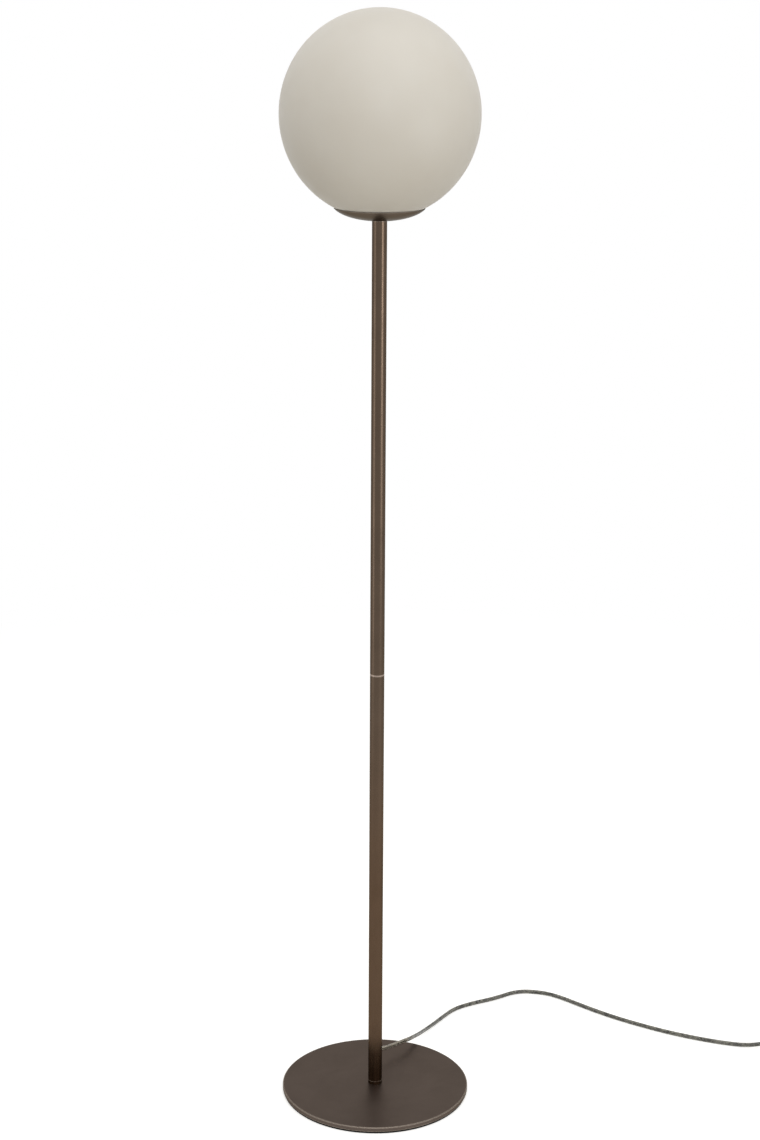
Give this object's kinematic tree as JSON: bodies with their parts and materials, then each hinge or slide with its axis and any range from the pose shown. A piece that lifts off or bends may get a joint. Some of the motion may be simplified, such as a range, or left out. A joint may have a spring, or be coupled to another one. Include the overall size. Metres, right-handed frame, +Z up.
{
  "type": "floor lamp",
  "caption": "Slim floor lamp with an opal glass globe in a shallow metal dish on a jointed pole and a flat round base, with a foot switch on its mains lead.",
  "frame": {"origin": "middle of the base's underside, on the floor, on the pole's axis", "axes": "+Z up along the pole, +Y towards the back, where the lead leaves the pole, +X to the right"},
  "size_m": [0.915, 0.4274, 1.4523],
  "materials": {
    "floor_pad": "black closed-cell foam",
    "base_plate": "dark bronzed nickel, satin",
    "base_washer": "bright zinc plated steel",
    "base_screw": "bright zinc plated steel",
    "foot_ring": "dark bronzed nickel, satin",
    "tube_plug": "bright zinc plated steel",
    "lower_tube": "dark bronzed nickel, satin",
    "upper_tube": "dark bronzed nickel, satin",
    "tube_inserts": "bright zinc plated steel",
    "joint_ring": "bright polished ring",
    "joint_nipple": "bright zinc plated steel",
    "strain_relief": "black moulded plastic",
    "inner_cable": "black sheath",
    "gallery_dish": "dark bronzed nickel, satin",
    "globe_gasket": "soft dark rubber",
    "globe_spring": "bright zinc plated steel",
    "lock_washer": "bright zinc plated steel",
    "gallery_nut": "plain brass",
    "gallery_nipple": "bright zinc plated steel",
    "glass_globe": "satin opal glass",
    "holder_cap": "black moulded plastic",
    "holder_body": "black moulded plastic",
    "holder_insulator": "white glazed ceramic",
    "screw_shell": "plain brass",
    "centre_contact": "plain brass",
    "terminal_screws": "plain brass",
    "holder_leads": "insulated wires",
    "bulb_contact": "black glass with a solder tip",
    "bulb_cap": "nickelled sheet",
    "bulb_housing": "white plastic",
    "bulb_dome": "milky diffuser",
    "cord_lamp_to_switch": "clear sheath over silver strands",
    "switch_base": "black moulded plastic",
    "switch_cover": "black moulded plastic",
    "switch_button": "black moulded plastic",
    "button_spring": "bright zinc plated steel",
    "switch_screws": "bright zinc plated steel",
    "switch_block": "pale moulded plastic",
    "switch_contacts": "plain brass",
    "switch_cables": "clear sheath over silver strands",
    "switch_reliefs": "black moulded plastic",
    "cord_switch_to_coil": "clear sheath over silver strands",
    "cord_coil": "clear sheath over silver strands",
    "cord_tie": "black hook-and-loop strap",
    "cord_coil_to_plug": "clear sheath over silver strands",
    "plug_body": "black moulded plastic",
    "plug_pins": "nickelled brass",
    "plug_relief": "black moulded plastic"
  },
  "bodies": {
    "stand": {"floor_pad": "floor_pad", "base_plate": "base_plate", "base_washer": "base_washer", "base_screw": "base_screw", "foot_ring": "foot_ring", "tube_plug": "tube_plug", "lower_tube": "lower_tube", "upper_tube": "upper_tube", "tube_inserts": "tube_inserts", "joint_ring": "joint_ring", "joint_nipple": "joint_nipple", "strain_relief": "strain_relief", "inner_cable": "inner_cable", "gallery_dish": "gallery_dish", "globe_gasket": "globe_gasket", "globe_spring": "globe_spring", "lock_washer": "lock_washer", "gallery_nut": "gallery_nut", "gallery_nipple": "gallery_nipple", "holder_cap": "holder_cap", "holder_body": "holder_body", "holder_insulator": "holder_insulator", "screw_shell": "screw_shell", "centre_contact": "centre_contact", "terminal_screws": "terminal_screws", "holder_leads": "holder_leads", "cord_lamp_to_switch": "cord_lamp_to_switch", "switch_base": "switch_base", "switch_cover": "switch_cover", "button_spring": "button_spring", "switch_screws": "switch_screws", "switch_block": "switch_block", "switch_contacts": "switch_contacts", "switch_cables": "switch_cables", "switch_reliefs": "switch_reliefs", "cord_switch_to_coil": "cord_switch_to_coil", "cord_coil": "cord_coil", "cord_tie": "cord_tie", "cord_coil_to_plug": "cord_coil_to_plug", "plug_body": "plug_body", "plug_pins": "plug_pins", "plug_relief": "plug_relief"},
    "globe": {"glass_globe": "glass_globe"},
    "bulb_rising": {"bulb_contact": "bulb_contact"},
    "bulb_screwed": {"bulb_cap": "bulb_cap", "bulb_housing": "bulb_housing", "bulb_dome": "bulb_dome"},
    "button": {"switch_button": "switch_button"}
  },
  "joints": [
    {"name": "globe_lift", "type": "slide", "parent": "stand", "child": "globe", "axis": [0, 0, 1], "range_m": [0, 0.16]},
    {"name": "bulb_rise", "type": "slide", "parent": "stand", "child": "bulb_rising", "axis": [0, 0, 1], "range_m": [0, 0.011]},
    {"name": "bulb_turn", "type": "hinge", "parent": "bulb_rising", "child": "bulb_screwed", "pos_m": [0, 0, 1.2328], "axis": [0, 0, 1], "range_deg": [0, 1080]},
    {"name": "button_press", "type": "slide", "parent": "stand", "child": "button", "axis": [0, 0, -1], "range_m": [0, 0.003], "stiffness_N_per_m": 400, "springref_m": -0.004, "deforming": ["button_spring"]}
  ],
  "couplings": [
    {"joint": "bulb_rise", "follows": "bulb_turn", "m_per_rad": 0.00057296}
  ]
}
